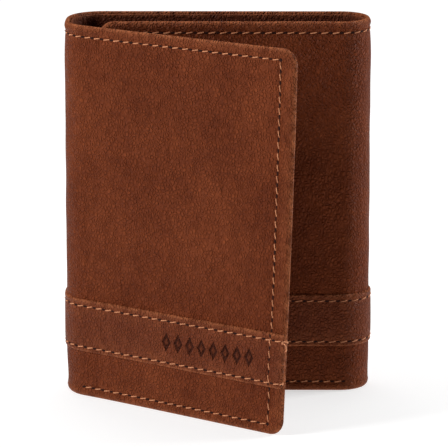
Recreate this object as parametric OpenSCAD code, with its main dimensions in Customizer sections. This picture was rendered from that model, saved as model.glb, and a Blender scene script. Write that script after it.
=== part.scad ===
// Trifold wallet in leather, standing on its lower edges with its front flap part open.
// Frame: +Z up, +X to the right along the centre panel, +Y away from the front.
// The origin is the middle of the centre panel's lower edge, halfway through its outer leather.
// Each panel is built in its own frame of (u, t, z): u runs from its fold to its free edge,
// t runs from the outer face of the leather inwards, and z is the height.

/* [Body] */
// Height of the wallet
wallet_h = 105; // [100:0.5:110]
// Width of the closed wallet, from fold to fold
wallet_w = 84; // [82:0.5:88]
// Depth from the back face to the face of the tuck panel
wallet_d = 16; // [15.5:0.1:17]
// Thickness of the outer leather
leather_t = 1.0; // [0.8:0.05:1.1]
// Radius of the free corners
corner_r = 4.2; // [2:0.1:6]

/* [Folds] */
// Outer radius of the left fold, between the centre panel and the flap
left_r = 10; // [9.8:0.1:10.5]
// Thickness of a fold, outer leather and lining together
fold_t = 2.0; // [1.8:0.05:2.1]
// Angle by which the flap stands open at rest
rest_angle = 32; // [30:1:34]
// Straight stretch of the left fold, between its two bends
fold_flat = 3.06; // [2.8:0.02:3.4]
// Half of the gap that leather leaves at a crease
crease_half = 0.87; // [0.8:0.01:1]

/* [Panels] */
// Length of the flap, from its fold to its free edge
flap_l = 67; // [60:0.5:68]
// Length of the tuck panel, from its fold to its free edge
tuck_l = 66.6; // [60:0.1:66.6]
// Width of a turned edge
hem_w = 7; // [6:0.5:9]
// Thickness of a stiffener board
board_t = 0.2; // [0.15:0.05:0.25]
// Thickness of the note-pocket lining
lining_t = 0.1; // [0.1:0.01:0.12]

/* [Band] */
// Height of the band's lower edge
band_z = 13; // [11:0.5:16]
// Height of the band itself
band_h = 15; // [12:0.5:17]
// Thickness of the band
band_t = 0.7; // [0.5:0.05:0.7]

/* [Stitching] */
// Width of a row of stitches
thread_w = 0.5; // [0.4:0.05:0.8]
// Height that a row stands out of the leather
thread_t = 0.25; // [0.15:0.05:0.25]
// Distance of the upper row from the upper edge
top_row = 3.8; // [3:0.1:5]
// Distance of the lower row from the lower edge
bottom_row = 2.7; // [2.2:0.1:3.5]
// Distance of an upright row from its free edge
edge_row = 4.7; // [4:0.1:6]

/* [Pockets] */
// Width of a card pocket
card_w = 58; // [56:0.5:59]
// Height of the mouth of the highest card pocket
card_mouth = 89; // [84:0.5:92]
// Step down from one card pocket's mouth to the next
card_step = 12; // [9:0.5:14]
// Width of the opening in the identity-card frame
window_w = 44; // [36:0.5:46]
// Height of the opening in the identity-card frame
window_h = 66; // [50:0.5:68]

/* [Hidden] */
$fn = 96;

LEATHER = [0.43, 0.22, 0.15];
BAND = [0.44, 0.25, 0.18];
THREAD = [0.78, 0.58, 0.45];
CLOTH = [0.30, 0.21, 0.16];
BOARD = [0.62, 0.56, 0.46];
CLEAR = [0.85, 0.90, 0.92, 0.5];

// Plan positions. The back face of the centre panel lies half a leather behind the origin.
back_y = leather_t / 2;
tuck_y = back_y - wallet_d;
right_r = wallet_d / 2;
left_c = [-wallet_w / 2 + left_r, back_y - left_r];
right_c = [wallet_w / 2 - right_r, back_y - right_r];
centre_l = right_c[0] - left_c[0];

// The second bend of the left fold turns the leather into the direction of the flap.
front_c = [left_c[0], left_c[1] - fold_flat];
flap_from = 180 - rest_angle;
flap_root = [
    front_c[0] - left_r * sin(flap_from),
    front_c[1] + left_r * cos(flap_from)
];

// Creases, as angles around the centre of their own bend, from straight back.
gap_l = crease_half / left_r * 180 / PI;
gap_r = crease_half / right_r * 180 / PI;
band_gap = 1.5;
crease_rear = 45;
crease_mid = 102;
crease_front = 129;
crease_right = 45;

// Depths in each panel, from the outer face of the leather inwards.
thin_gap = 0.2;
flap_facing_at = leather_t + board_t + lining_t + thin_gap;
flap_facing_t = fold_t - flap_facing_at - 0.05;
flap_tier_t = 0.25;
centre_facing_at = leather_t + board_t + lining_t + thin_gap;
tuck_facing_at = leather_t + 1.5;
tuck_facing_t = 0.5;
tuck_tier_t = 0.35;
slip_t = 0.5;
spacer_t = 0.6;
window_t = 0.25;
frame_t = 0.6;
spacer_w = 3;

lining_lift = 0.3;
band_inset = 2.5;
pocket_floor = 5;
tops = [card_mouth, card_mouth - card_step, card_mouth - 2 * card_step];

// ---- Frames of the panels ----
module centre_frame() {
    translate([left_c[0], back_y, 0])
        mirror([0, 1, 0])
            children();
}
module tuck_frame() {
    translate([right_c[0], tuck_y, 0])
        mirror([1, 0, 0])
            children();
}
module flap_frame() {
    translate([flap_root[0], flap_root[1], 0])
        rotate([0, 0, -rest_angle])
            children();
}

// ---- Building blocks ----
// A plain plate from (u0, z0) to (u1, z1), between the depths t0 and t1
module plate(u, z, t) {
    translate([u[0], t[0], z[0]])
        cube([u[1] - u[0], t[1] - t[0], z[1] - z[0]]);
}
// The outline of a panel of length l with its two free corners rounded
module panel_outline(l) {
    square([l - corner_r, wallet_h]);
    translate([0, corner_r])
        square([l, wallet_h - 2 * corner_r]);
    for (z = [corner_r, wallet_h - corner_r])
        translate([l - corner_r, z])
            circle(corner_r);
}
// An outline drawn in u and z, given the depths t0 to t1
module raised(t) {
    translate([0, t[1], 0])
        rotate([90, 0, 0])
            linear_extrude(t[1] - t[0])
                children();
}
// A bent strip around centre c, between the radii r and the angles a from straight back,
// towards the left (side 1) or the right (side -1). It is swept from its first angle, or from
// its last one where "back_to_front" is false, so that the end which meets a flat stretch is
// the one that the sweep starts from.
module bent(c, r, a, z, side = 1, back_to_front = true) {
    b = back_to_front ? a : [180 - a[1], 180 - a[0]];
    translate([c[0], c[1], 0])
        mirror([0, back_to_front ? 0 : 1, 0])
            mirror([side > 0 ? 0 : 1, 0, 0])
                rotate([0, 0, 90 + b[0]])
                    rotate_extrude(angle = b[1] - b[0])
                        translate([r[0], z[0]])
                            square([r[1] - r[0], z[1] - z[0]]);
}

// ---- Layers that several bodies share ----
// A layer whose outer face stands out from the leather by "out" and has the thickness t.
// "slack" widens the gap at each crease, and z is its span of height.
module back_layer(out, t, z, slack = 0) {
    centre_frame()
        plate([0, centre_l], z, [-out, t - out]);
    bent(left_c, [left_r + out - t, left_r + out], [0, crease_rear - gap_l - slack], z);
    bent(right_c, [right_r + out - t, right_r + out], [0, crease_right - gap_r - slack], z, -1);
}
module rear_fold_layer(out, t, z, slack = 0) {
    bent(left_c, [left_r + out - t, left_r + out], [crease_rear + gap_l + slack, 90], z, 1, false);
    translate([left_c[0] - left_r - out, front_c[1], z[0]])
        cube([t, left_c[1] - front_c[1], z[1] - z[0]]);
    bent(front_c, [left_r + out - t, left_r + out], [90, crease_mid - gap_l - slack], z);
}
module front_fold_layer(out, t, z, slack = 0) {
    bent(
        front_c, [left_r + out - t, left_r + out],
        [crease_mid + gap_l + slack, crease_front - gap_l - slack], z
    );
}
module flap_bend(out, t, z, slack = 0) {
    bent(
        front_c, [left_r + out - t, left_r + out],
        [crease_front + gap_l + slack, flap_from], z, 1, false
    );
}
module right_fold_layer(out, t, z, slack = 0) {
    bent(
        right_c, [right_r + out - t, right_r + out],
        [crease_right + gap_r + slack, 180 - crease_right - gap_r - slack], z, -1
    );
}
module tuck_bend(out, t, z, slack = 0) {
    bent(
        right_c, [right_r + out - t, right_r + out],
        [180 - crease_right + gap_r + slack, 180], z, -1, false
    );
}

full = [0, wallet_h];
lining_span = [lining_lift, wallet_h - lining_lift];
band_span = [band_z, band_z + band_h];
inner_t = fold_t - leather_t;

// Heights of the two rows on the band
band_rows = [band_z + 1.4, band_z + band_h - 1.9];
// The span of height of a row at z
function row(z) = [z - thread_w / 2, z + thread_w / 2];

// All the rows of stitches on a panel of length l. The upright row climbs over the band.
module panel_rows(l, upright, band_l) {
    end = upright ? l - edge_row + thread_w / 2 : l;
    plate([0, end], row(wallet_h - top_row), [-thread_t, 0]);
    plate([0, end], row(bottom_row), [-thread_t, 0]);
    if (upright) {
        side = [l - edge_row - thread_w / 2, end];
        plate(side, [bottom_row, band_z], [-thread_t, 0]);
        plate(side, [band_z + band_h, wallet_h - top_row], [-thread_t, 0]);
        plate(side, band_span, [-band_t - thread_t, -band_t]);
    }
    for (z = band_rows)
        plate([0, band_l], row(z), [-band_t - thread_t, -band_t]);
}
// The part of a panel's leather that is turned in: along the lower edge and the free edge over
// the whole depth of the note pocket, and thinner along the mouth of the note pocket
module turned_edge(l, depth, free) {
    side = free ? hem_w : 0;
    raised([leather_t, depth])
        difference() {
            if (free)
                panel_outline(l);
            else
                square([l, hem_w]);
            translate([-1, hem_w])
                square([l + 1 - side, wallet_h]);
        }
    plate(
        [0, l - side], [wallet_h - hem_w, wallet_h],
        [leather_t, leather_t + board_t + lining_t]
    );
}
// A flat layer that fills a panel inside its turned edges
module inner_sheet(l, free, at, t) {
    plate([0, l - (free ? hem_w : 0)], [hem_w, wallet_h - hem_w], [at, at + t]);
}
// One of three stepped card pockets, the highest lying deepest
module card_pocket(tier, l, at, t) {
    plate([l - edge_row - 1.3 - card_w, l - edge_row - 1.3], [pocket_floor, tops[tier]],
        [at + tier * t, at + (tier + 1) * t]);
}

// ---- Centre panel ----
module back_leather() {
    color(LEATHER)
        back_layer(0, leather_t, full);
}
module back_band() {
    color(BAND)
        back_layer(band_t, band_t, band_span, band_gap);
}
module back_thread() {
    color(THREAD) {
        centre_frame()
            panel_rows(centre_l, false, centre_l);
        for (side = [1, -1])
            bent_rows(side > 0 ? left_c : right_c, side > 0 ? left_r : right_r,
                [0, side > 0 ? crease_rear - gap_l : crease_right - gap_r], side, [0, 1]);
    }
}
// Rows round a bend: one on the leather at the top and two on the band
module bent_rows(c, r, a, side = 1, trim = [1, 1], back_to_front = true) {
    bent(c, [r, r + thread_t], a, row(wallet_h - top_row), side, back_to_front);
    for (z = band_rows)
        bent(c, [r + band_t, r + band_t + thread_t],
            [a[0] + trim[0] * band_gap, a[1] - trim[1] * band_gap], row(z), side, back_to_front);
}
module centre_stiffener() {
    color(BOARD)
        centre_frame()
            inner_sheet(centre_l, false, leather_t, board_t);
}
module centre_note_lining() {
    color(CLOTH)
        centre_frame()
            inner_sheet(centre_l, false, leather_t + board_t, lining_t);
}
module centre_turned_edge() {
    color(LEATHER)
        centre_frame()
            turned_edge(centre_l, centre_facing_at, false);
}
module centre_facing() {
    color(LEATHER) {
        centre_frame()
            plate([0, centre_l], lining_span, [centre_facing_at, fold_t]);
        bent(left_c, [left_r - fold_t, left_r - leather_t], [0, crease_rear - gap_l], lining_span);
        bent(right_c, [right_r - fold_t, right_r - leather_t], [0, crease_right - gap_r],
            lining_span, -1);
    }
}
module centre_slip_pocket() {
    color(LEATHER)
        centre_frame()
            plate([2, centre_l - 2], [pocket_floor - 2, card_mouth + 4], [fold_t, fold_t + slip_t]);
}
id_at = fold_t + slip_t;
id_u = [(centre_l - card_w) / 2, (centre_l + card_w) / 2];
id_z = [pocket_floor, card_mouth];
module id_pocket_spacer() {
    color(LEATHER)
        centre_frame()
            difference() {
                plate(id_u, id_z, [id_at, id_at + spacer_t]);
                plate([id_u[0] + spacer_w, id_u[1] - spacer_w], [id_z[0] + spacer_w, id_z[1] + 1],
                    [id_at - 1, id_at + spacer_t + 1]);
            }
}
module id_window() {
    color(CLEAR)
        centre_frame()
            plate(id_u, id_z, [id_at + spacer_t, id_at + spacer_t + window_t]);
}
module id_window_frame() {
    from = id_at + spacer_t + window_t;
    color(LEATHER)
        centre_frame()
            difference() {
                plate(id_u, id_z, [from, from + frame_t]);
                plate([(centre_l - window_w) / 2, (centre_l + window_w) / 2],
                    [(id_z[0] + id_z[1] - window_h) / 2, (id_z[0] + id_z[1] + window_h) / 2],
                    [from - 1, from + frame_t + 1]);
            }
}

// ---- Left fold, in two strips ----
module left_rear_fold_leather() {
    color(LEATHER)
        rear_fold_layer(0, leather_t, full);
}
module left_rear_fold_lining() {
    color(LEATHER)
        rear_fold_layer(-leather_t, inner_t, lining_span);
}
module left_rear_fold_band() {
    color(BAND)
        rear_fold_layer(band_t, band_t, band_span, band_gap);
}
module left_rear_fold_thread() {
    color(THREAD) {
        rear_fold_layer(thread_t, thread_t, row(wallet_h - top_row));
        for (z = band_rows)
            rear_fold_layer(band_t + thread_t, thread_t, row(z), band_gap);
    }
}
module left_front_fold_leather() {
    color(LEATHER)
        front_fold_layer(0, leather_t, full);
}
module left_front_fold_lining() {
    color(LEATHER)
        front_fold_layer(-leather_t, inner_t, lining_span);
}
module left_front_fold_band() {
    color(BAND)
        front_fold_layer(band_t, band_t, band_span, band_gap);
}
module left_front_fold_thread() {
    color(THREAD) {
        front_fold_layer(thread_t, thread_t, row(wallet_h - top_row));
        for (z = band_rows)
            front_fold_layer(band_t + thread_t, thread_t, row(z), band_gap);
    }
}

// ---- Front flap ----
module flap_leather() {
    color(LEATHER) {
        flap_frame()
            raised([0, leather_t])
                panel_outline(flap_l);
        flap_bend(0, leather_t, full);
    }
}
module flap_band() {
    color(BAND) {
        flap_frame()
            plate([0, flap_l], band_span, [-band_t, 0]);
        flap_bend(band_t, band_t, band_span, band_gap);
    }
}
module flap_thread() {
    color(THREAD) {
        flap_frame()
            panel_rows(flap_l, true, flap_l);
        bent_rows(front_c, left_r, [crease_front + gap_l, flap_from], 1, [1, 0], false);
    }
}
module flap_stiffener() {
    color(BOARD)
        flap_frame()
            inner_sheet(flap_l, true, leather_t, board_t);
}
module flap_note_lining() {
    color(CLOTH)
        flap_frame()
            inner_sheet(flap_l, true, leather_t + board_t, lining_t);
}
module flap_turned_edge() {
    color(LEATHER)
        flap_frame()
            turned_edge(flap_l, flap_facing_at, true);
}
module flap_facing() {
    color(LEATHER) {
        flap_frame()
            plate([0, flap_l - 1], [1, wallet_h - 1], [flap_facing_at, flap_facing_at + flap_facing_t]);
        flap_bend(-leather_t, inner_t, lining_span);
    }
}
module flap_card_pocket(tier) {
    color(LEATHER)
        flap_frame()
            card_pocket(tier, flap_l, flap_facing_at + flap_facing_t, flap_tier_t);
}

// ---- Right fold ----
module right_fold_leather() {
    color(LEATHER)
        right_fold_layer(0, leather_t, full);
}
module right_fold_lining() {
    color(LEATHER)
        right_fold_layer(-leather_t, inner_t, lining_span);
}
module right_fold_band() {
    color(BAND)
        right_fold_layer(band_t, band_t, band_span, band_gap);
}
module right_fold_thread() {
    color(THREAD)
        bent_rows(right_c, right_r, [crease_right + gap_r, 180 - crease_right - gap_r], -1);
}

// ---- Tuck panel ----
module tuck_leather() {
    color(LEATHER) {
        tuck_frame()
            raised([0, leather_t])
                panel_outline(tuck_l);
        tuck_bend(0, leather_t, full);
    }
}
module tuck_band() {
    color(BAND) {
        tuck_frame()
            plate([0, tuck_l - band_inset], band_span, [-band_t, 0]);
        tuck_bend(band_t, band_t, band_span, band_gap);
    }
}
module tuck_thread() {
    color(THREAD) {
        tuck_frame()
            panel_rows(tuck_l, true, tuck_l - band_inset);
        bent_rows(right_c, right_r, [180 - crease_right + gap_r, 180], -1, [1, 0], false);
    }
}
module tuck_stiffener() {
    color(BOARD)
        tuck_frame()
            inner_sheet(tuck_l, true, leather_t, board_t);
}
module tuck_note_lining() {
    color(CLOTH)
        tuck_frame()
            inner_sheet(tuck_l, true, leather_t + board_t, lining_t);
}
module tuck_turned_edge() {
    color(LEATHER)
        tuck_frame()
            turned_edge(tuck_l, tuck_facing_at, true);
}
module tuck_facing() {
    color(LEATHER) {
        tuck_frame()
            plate([0, tuck_l - 1], [lining_lift, wallet_h - 1],
                [tuck_facing_at, tuck_facing_at + tuck_facing_t]);
        tuck_bend(-leather_t, inner_t, lining_span);
    }
}
module tuck_card_pocket(tier) {
    color(LEATHER)
        tuck_frame()
            card_pocket(tier, tuck_l, tuck_facing_at + tuck_facing_t, tuck_tier_t);
}

back_leather();
back_band();
back_thread();
centre_stiffener();
centre_note_lining();
centre_turned_edge();
centre_facing();
centre_slip_pocket();
id_pocket_spacer();
id_window();
id_window_frame();
left_rear_fold_leather();
left_rear_fold_lining();
left_rear_fold_band();
left_rear_fold_thread();
left_front_fold_leather();
left_front_fold_lining();
left_front_fold_band();
left_front_fold_thread();
flap_leather();
flap_band();
flap_thread();
flap_stiffener();
flap_note_lining();
flap_turned_edge();
flap_facing();
flap_card_pocket(0);  // flap_top_card_pocket
flap_card_pocket(1);  // flap_middle_card_pocket
flap_card_pocket(2);  // flap_bottom_card_pocket
right_fold_leather();
right_fold_lining();
right_fold_band();
right_fold_thread();
tuck_leather();
tuck_band();
tuck_thread();
tuck_stiffener();
tuck_note_lining();
tuck_turned_edge();
tuck_facing();
tuck_card_pocket(0);  // tuck_top_card_pocket
tuck_card_pocket(1);  // tuck_middle_card_pocket
tuck_card_pocket(2);  // tuck_bottom_card_pocket
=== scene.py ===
"""Looks of a trifold leather wallet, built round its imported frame.

The leather runs as one course in plan: from the flap's free edge, round the left fold, along the
centre panel, round the right fold and to the tuck panel's free edge. Every layer is a sheet laid
on that course, given by s (along it), t (depth from the outer face) and z (height), in millimetres.
"""
import logging
import math
from dataclasses import dataclass, field
from enum import Enum
from typing import Any, Callable, Optional, Sequence, Union

import bpy
import numpy as np
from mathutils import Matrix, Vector


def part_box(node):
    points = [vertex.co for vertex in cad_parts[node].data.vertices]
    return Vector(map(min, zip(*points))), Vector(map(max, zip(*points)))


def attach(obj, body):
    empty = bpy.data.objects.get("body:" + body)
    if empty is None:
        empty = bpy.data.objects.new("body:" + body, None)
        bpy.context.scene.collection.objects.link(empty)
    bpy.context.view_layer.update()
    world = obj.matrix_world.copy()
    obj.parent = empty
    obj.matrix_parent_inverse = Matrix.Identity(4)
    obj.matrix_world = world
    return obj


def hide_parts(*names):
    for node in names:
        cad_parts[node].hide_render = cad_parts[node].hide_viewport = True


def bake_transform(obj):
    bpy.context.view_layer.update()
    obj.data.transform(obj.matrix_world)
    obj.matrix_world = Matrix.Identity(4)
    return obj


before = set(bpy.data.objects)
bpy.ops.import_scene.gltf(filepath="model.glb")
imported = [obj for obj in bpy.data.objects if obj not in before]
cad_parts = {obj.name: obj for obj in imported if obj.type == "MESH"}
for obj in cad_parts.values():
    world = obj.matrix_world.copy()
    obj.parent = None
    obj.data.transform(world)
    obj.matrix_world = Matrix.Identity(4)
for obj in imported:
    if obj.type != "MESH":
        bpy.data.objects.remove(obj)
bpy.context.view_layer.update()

MM = 0.001
NEAR = 1e-6  # millimetres within which two places on the course are one
WELD = 2e-7  # metres within which two corners are one
SHARP = math.radians(70)
LOG = logging.getLogger("wallet")

Array = np.ndarray
Names = Sequence[str]
Pair = tuple[float, float]
Finer = tuple[float, Sequence[float]]
Depth = Callable[[Array, Array, Array], Array]


# ---------------------------------------------------------------- the course of the leather
@dataclass(frozen=True)
class Course:
    """The outer face of the leather in plan, from the flap's free edge to the tuck panel's."""

    centre_x: tuple[float, float]
    back_y: float
    left_r: float
    right_r: float
    height: float
    flap_l: float
    tuck_l: float
    spine_flat: float = 3.06
    rest_angle: float = math.radians(32)
    twist_top: float = 3.0
    twist_foot: float = 4.2
    curl_top: float = -0.2
    ease: float = 0.1
    probe: float = 0.05

    @classmethod
    def from_frame(cls) -> "Course":
        """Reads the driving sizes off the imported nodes."""
        board, back, left, tuck = (
            [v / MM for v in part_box(n)]
            for n in ("centre_stiffener", "back_leather", "left_rear_fold_leather", "tuck_leather")
        )
        return cls(
            centre_x=(board[0].x, board[1].x),
            back_y=back[1].y,
            left_r=board[0].x - left[0].x,
            right_r=(back[1].y - tuck[0].y) / 2,
            height=back[1].z,
            flap_l=67.0,
            tuck_l=board[1].x - tuck[0].x,
        )

    @property
    def centre_l(self) -> float:
        """Length of the centre panel."""
        return self.centre_x[1] - self.centre_x[0]

    @property
    def bend_a(self) -> float:
        """Distance from the centre panel to the end of the rear bend."""
        return self.left_r * math.pi / 2

    @property
    def bend_b(self) -> float:
        """Distance from the centre panel to the start of the front bend."""
        return self.bend_a + self.spine_flat

    @property
    def root(self) -> float:
        """Distance from the centre panel to the flap's root."""
        return self.bend_b + self.left_r * (math.pi / 2 - self.rest_angle)

    @property
    def right_extreme(self) -> float:
        """Where the right fold stands furthest out."""
        return self.centre_l + self.right_r * math.pi / 2

    @property
    def tuck_root(self) -> float:
        """Where the tuck panel starts."""
        return self.centre_l + math.pi * self.right_r

    @property
    def start(self) -> float:
        """The flap's free edge."""
        return -self.root - self.flap_l

    @property
    def end(self) -> float:
        """The tuck panel's free edge."""
        return self.tuck_root + self.tuck_l

    def warp(self, u: Array, z: Array) -> Array:
        """How far the flap stands in from its plane.

        Args:
            u: distance along the flap from its root.
            z: height.

        Returns:
            The shift towards the tuck panel, negative where the flap stands out.
        """
        x, high = np.clip(u / self.flap_l, 0, 1), z / self.height
        slope = (x - self.ease * (1 - np.exp(-x / self.ease))) / (1 - self.ease)
        twist = self.twist_top * high - self.twist_foot * np.clip(1 - high, 0, 1) ** 1.4
        return slope * twist + self.curl_top * x**2.6 * high**2

    def place(self, s: Array, t: Array, z: Array) -> Array:
        """Places points given along the course.

        Args:
            s: distance along the course, nought at the left end of the centre panel.
            t: depth inwards from the outer face.
            z: height.

        Returns:
            The points in metres, one row each.
        """
        s, t, z = np.broadcast_arrays(*(np.asarray(v, float) for v in (s, t, z)))
        s, t, z = s.ravel(), t.ravel(), z.ravel()
        x0, x1 = self.centre_x
        x, y = x0 + s, self.back_y - t
        r = self.right_r
        on, a = s > self.centre_l, (s - self.centre_l) / r
        x = np.where(on, x1 + (r - t) * np.sin(a), x)
        y = np.where(on, self.back_y - r + (r - t) * np.cos(a), y)
        on = s > self.tuck_root
        x = np.where(on, x1 - (s - self.tuck_root), x)
        y = np.where(on, self.back_y - 2 * r + t, y)
        r, back = self.left_r, -s
        on = s < 0
        x = np.where(on, x0 - (r - t) * np.sin(back / r), x)
        y = np.where(on, self.back_y - r + (r - t) * np.cos(back / r), y)
        on = back > self.bend_a
        x = np.where(on, x0 - r + t, x)
        y = np.where(on, self.back_y - r - (back - self.bend_a), y)
        on, cy = back > self.bend_b, self.back_y - r - self.spine_flat
        a = (back - self.bend_b) / r
        x = np.where(on, x0 - (r - t) * np.cos(a), x)
        y = np.where(on, cy - (r - t) * np.sin(a), y)
        on = back > self.root
        a, u = math.pi / 2 - self.rest_angle, back - self.root
        deep = t + self.warp(u, z)
        cos, sin = math.cos(self.rest_angle), math.sin(self.rest_angle)
        x = np.where(on, x0 - r * math.cos(a) + u * cos + deep * sin, x)
        y = np.where(on, cy - r * math.sin(a) - u * sin + deep * cos, y)
        return np.stack([x, y, z], 1) * MM

    def axes(self, s: Array, t: Array, z: Array) -> tuple[Array, Array, Array]:
        """Unit vectors at points on the course.

        Args:
            s: distance along the course.
            t: depth inwards.
            z: height.

        Returns:
            The directions of growing s, outwards, and of growing z.
        """
        here = self.place(s, t, z)
        along = self.place(s + self.probe, t, z) - self.place(s - self.probe, t, z)
        up = self.place(s, t, z + self.probe) - here
        out = self.place(s, t - self.probe, z) - here
        return tuple(v / np.linalg.norm(v, axis=1)[:, None] for v in (along, out, up))


COURSE = Course.from_frame()
TOP = COURSE.height


# ---------------------------------------------------------------- stretches of the course
@dataclass(frozen=True)
class Stretch:
    """A length of the course that is one piece of each layer, listed with two bodies and two places
    where it would turn.
    """

    name: str
    low: float
    high: float
    bodies: tuple[str, str]
    turn: tuple[float, float]

    @property
    def free_low(self) -> bool:
        """Whether the low end is the flap's free edge."""
        return self.low <= COURSE.start + NEAR

    @property
    def free_high(self) -> bool:
        """Whether the high end is the tuck panel's free edge."""
        return self.high >= COURSE.end - NEAR

    def ends(self, inset: float) -> tuple[float, float]:
        """The low and high end of a sheet that is set in from the free edges."""
        return self.low + inset * self.free_low, self.high - inset * self.free_high

    def blend(self, piece: bpy.types.Object) -> None:
        """Bakes a piece's placement into its mesh; the turn places are worked out but it is not
        turned with the bodies.
        """
        low, high = (COURSE.place([s], [1.0], [TOP / 2])[0] for s in self.turn)
        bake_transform(piece)


SPINE_SEAM = -COURSE.bend_a - 0.2
BACK_SEAM = COURSE.centre_l / 2
STRETCHES = (
    Stretch("flap", COURSE.start, SPINE_SEAM, ("left_rear_fold", "flap"),
            (SPINE_SEAM - 0.2, -COURSE.root - 1)),
    Stretch("back_left", SPINE_SEAM, BACK_SEAM, ("centre", "left_rear_fold"),
            (1.0, -COURSE.bend_a)),
    Stretch("back_right", BACK_SEAM, COURSE.right_extreme, ("centre", "right_fold"),
            (COURSE.centre_l - 1, COURSE.right_extreme)),
    Stretch("tuck", COURSE.right_extreme, COURSE.end, ("right_fold", "tuck_panel"),
            (COURSE.right_extreme, COURSE.tuck_root + 1)),
)


# ---------------------------------------------------------------- sizes of the sewing
BOTTOM_ROW = 2.7
TOP_ROW = TOP - 3.1
EDGE_ROW = 4.7
HEM = 7.0
BAND_FOOT, BAND_HEAD = 13.0, 28.0
BAND_ROWS = (14.4, 26.1)
BAND_T = 0.7
FLAP_ROW = COURSE.start + EDGE_ROW
TUCK_ROW = COURSE.end - EDGE_ROW


@dataclass(frozen=True)
class Row:
    """A straight run of machine stitches on the course."""

    low: float
    high: float
    at: float
    upright: bool = False
    depth: float = 0.0
    inside: bool = False
    pitch: float = 3.1

    def distance(self, s: Array, z: Array) -> Array:
        """Distance of points to the row, measured over the leather."""
        run, off = (z, s) if self.upright else (s, z)
        beyond = np.maximum(np.maximum(self.low - run, run - self.high), 0)
        return np.hypot(beyond, off - self.at)

    def stations(self) -> tuple[Array, Array, Array]:
        """Centres of the stitches, and of the needle holes between them.

        Returns:
            The s of each, the z of each, and 1.0 where it is a hole.
        """
        count = max(2, round((self.high - self.low) / self.pitch))
        run = np.linspace(self.low, self.high, 2 * count + 1)
        hole = (np.arange(2 * count + 1) % 2 == 0).astype(float)
        fixed = np.full(run.shape, self.at)
        return (fixed, run, hole) if self.upright else (run, fixed, hole)


OUTER_ROWS = (
    Row(FLAP_ROW, TUCK_ROW, TOP_ROW),
    Row(FLAP_ROW, -COURSE.root, BOTTOM_ROW),
    Row(0.5, COURSE.centre_l - 0.5, BOTTOM_ROW),
    Row(COURSE.tuck_root - 1.1, TUCK_ROW, BOTTOM_ROW),
    Row(BAND_HEAD + 0.3, TOP_ROW, FLAP_ROW, upright=True),
    Row(BOTTOM_ROW, BAND_FOOT - 0.5, FLAP_ROW, upright=True),
    Row(BAND_HEAD + 0.3, TOP_ROW, TUCK_ROW, upright=True),
    Row(BOTTOM_ROW, BAND_FOOT - 0.5, TUCK_ROW, upright=True),
)
BAND_STITCHES = (
    *(Row(COURSE.start + 0.5, COURSE.end - 0.5, z, depth=-BAND_T) for z in BAND_ROWS),
    *(Row(BAND_FOOT + 0.9, BAND_HEAD - 0.9, s, True, -BAND_T) for s in (FLAP_ROW, TUCK_ROW)),
)


def smooth(x: Array) -> Array:
    """The smooth step of a value between 0 and 1."""
    x = np.clip(x, 0, 1)
    return x * x * (3 - 2 * x)


def quarter_round(d: Array, reach: float) -> Array:
    """Rises from 0 at an edge to 1 at a distance of reach, as a quarter circle."""
    return np.sqrt(1 - (1 - np.clip(d / reach, 0, 1)) ** 2)


def groove(rows: Sequence[Row], s: Array, z: Array, width: float = 0.5) -> Array:
    """How deep the pull of the thread presses the leather, from 0 to 1."""
    deep = np.zeros(np.shape(s))
    for row in rows:
        deep = np.maximum(deep, np.exp(-0.5 * (row.distance(s, z) / width) ** 2))
    return deep


def ripple(s: Array, z: Array) -> Array:
    """Slow unevenness of a worked hide, about -1 to 1."""
    waves = ((31, 43, 0.4), (17, -29, 2.1), (11.3, 19, 4.4), (47, 13.7, 1.3), (-8.1, 33, 5.2))
    total = np.zeros(np.shape(s))
    for a, b, phase in waves:
        total = total + np.sin(2 * np.pi * (s / a + z / b) + phase)
    return total / 2.6


def lines(low: float, high: float, step: float, *fine: Finer) -> Array:
    """Grid lines from low to high, with finer ones round given places.

    Args:
        low: first line.
        high: last line.
        step: spacing of the plain lines.
        fine: places, each with the offsets of its extra lines.

    Returns:
        The lines in order. A plain line too near a fine one is left out.
    """
    extra = [low, high] + [at + o for at, offsets in fine for o in offsets]
    extra = np.unique(np.round([v for v in extra if low - 1e-9 <= v <= high + 1e-9], 5))
    plain = np.linspace(low, high, max(2, int(round((high - low) / step)) + 1))
    far = np.min(np.abs(plain[:, None] - extra[None]), axis=1) > CROWDED * step
    return np.unique(np.concatenate([extra, plain[far]]))


def downward(offsets: Sequence[float]) -> tuple[float, ...]:
    """The same offsets on the other side."""
    return tuple(-o for o in offsets)


CROWDED = 0.45  # share of the spacing within which a plain line gives way to a fine one
EDGE = (0, 0.06, 0.2, 0.4, 0.7, 1.05, 1.5, 2.1)
EDGE_DOWN = downward(EDGE)
SEWN = (-1.2, -0.8, -0.5, -0.25, 0, 0.25, 0.5, 0.8, 1.2)
HEM_STEP = (-0.35, -0.15, 0.15, 0.35)
SEAMS = tuple((s, (-0.05, 0.05)) for s in (SPINE_SEAM, BACK_SEAM, COURSE.right_extreme))


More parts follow.
